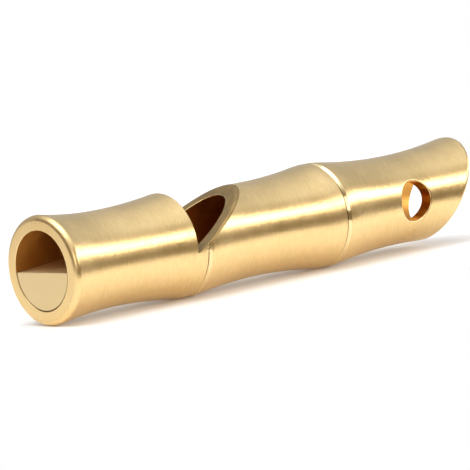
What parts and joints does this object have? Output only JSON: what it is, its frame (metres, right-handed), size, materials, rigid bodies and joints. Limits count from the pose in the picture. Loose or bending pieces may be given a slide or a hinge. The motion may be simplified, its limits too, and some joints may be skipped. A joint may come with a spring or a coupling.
{
  "type": "signal whistle",
  "caption": "Short brass whistle turned like bamboo, with a half-round fipple block, a ramped window, and an oblique hollow tail with a lanyard hole.",
  "frame": {"origin": "bottom centre of the whole whistle, under the middle of its length, with the bore's axis 5.75 mm above", "axes": "+X along the bore from the mouth to the tail, +Y along the lanyard hole, +Z out of the side with the window"},
  "size_m": [0.06, 0.0116, 0.0115],
  "materials": {
    "turned_brass": "satin, with fine turning marks round the axis",
    "block_brass": "matte, as milled"
  },
  "bodies": {
    "root": {"whistle_tube": "turned_brass", "fipple_block": "block_brass"}
  },
  "joints": []
}
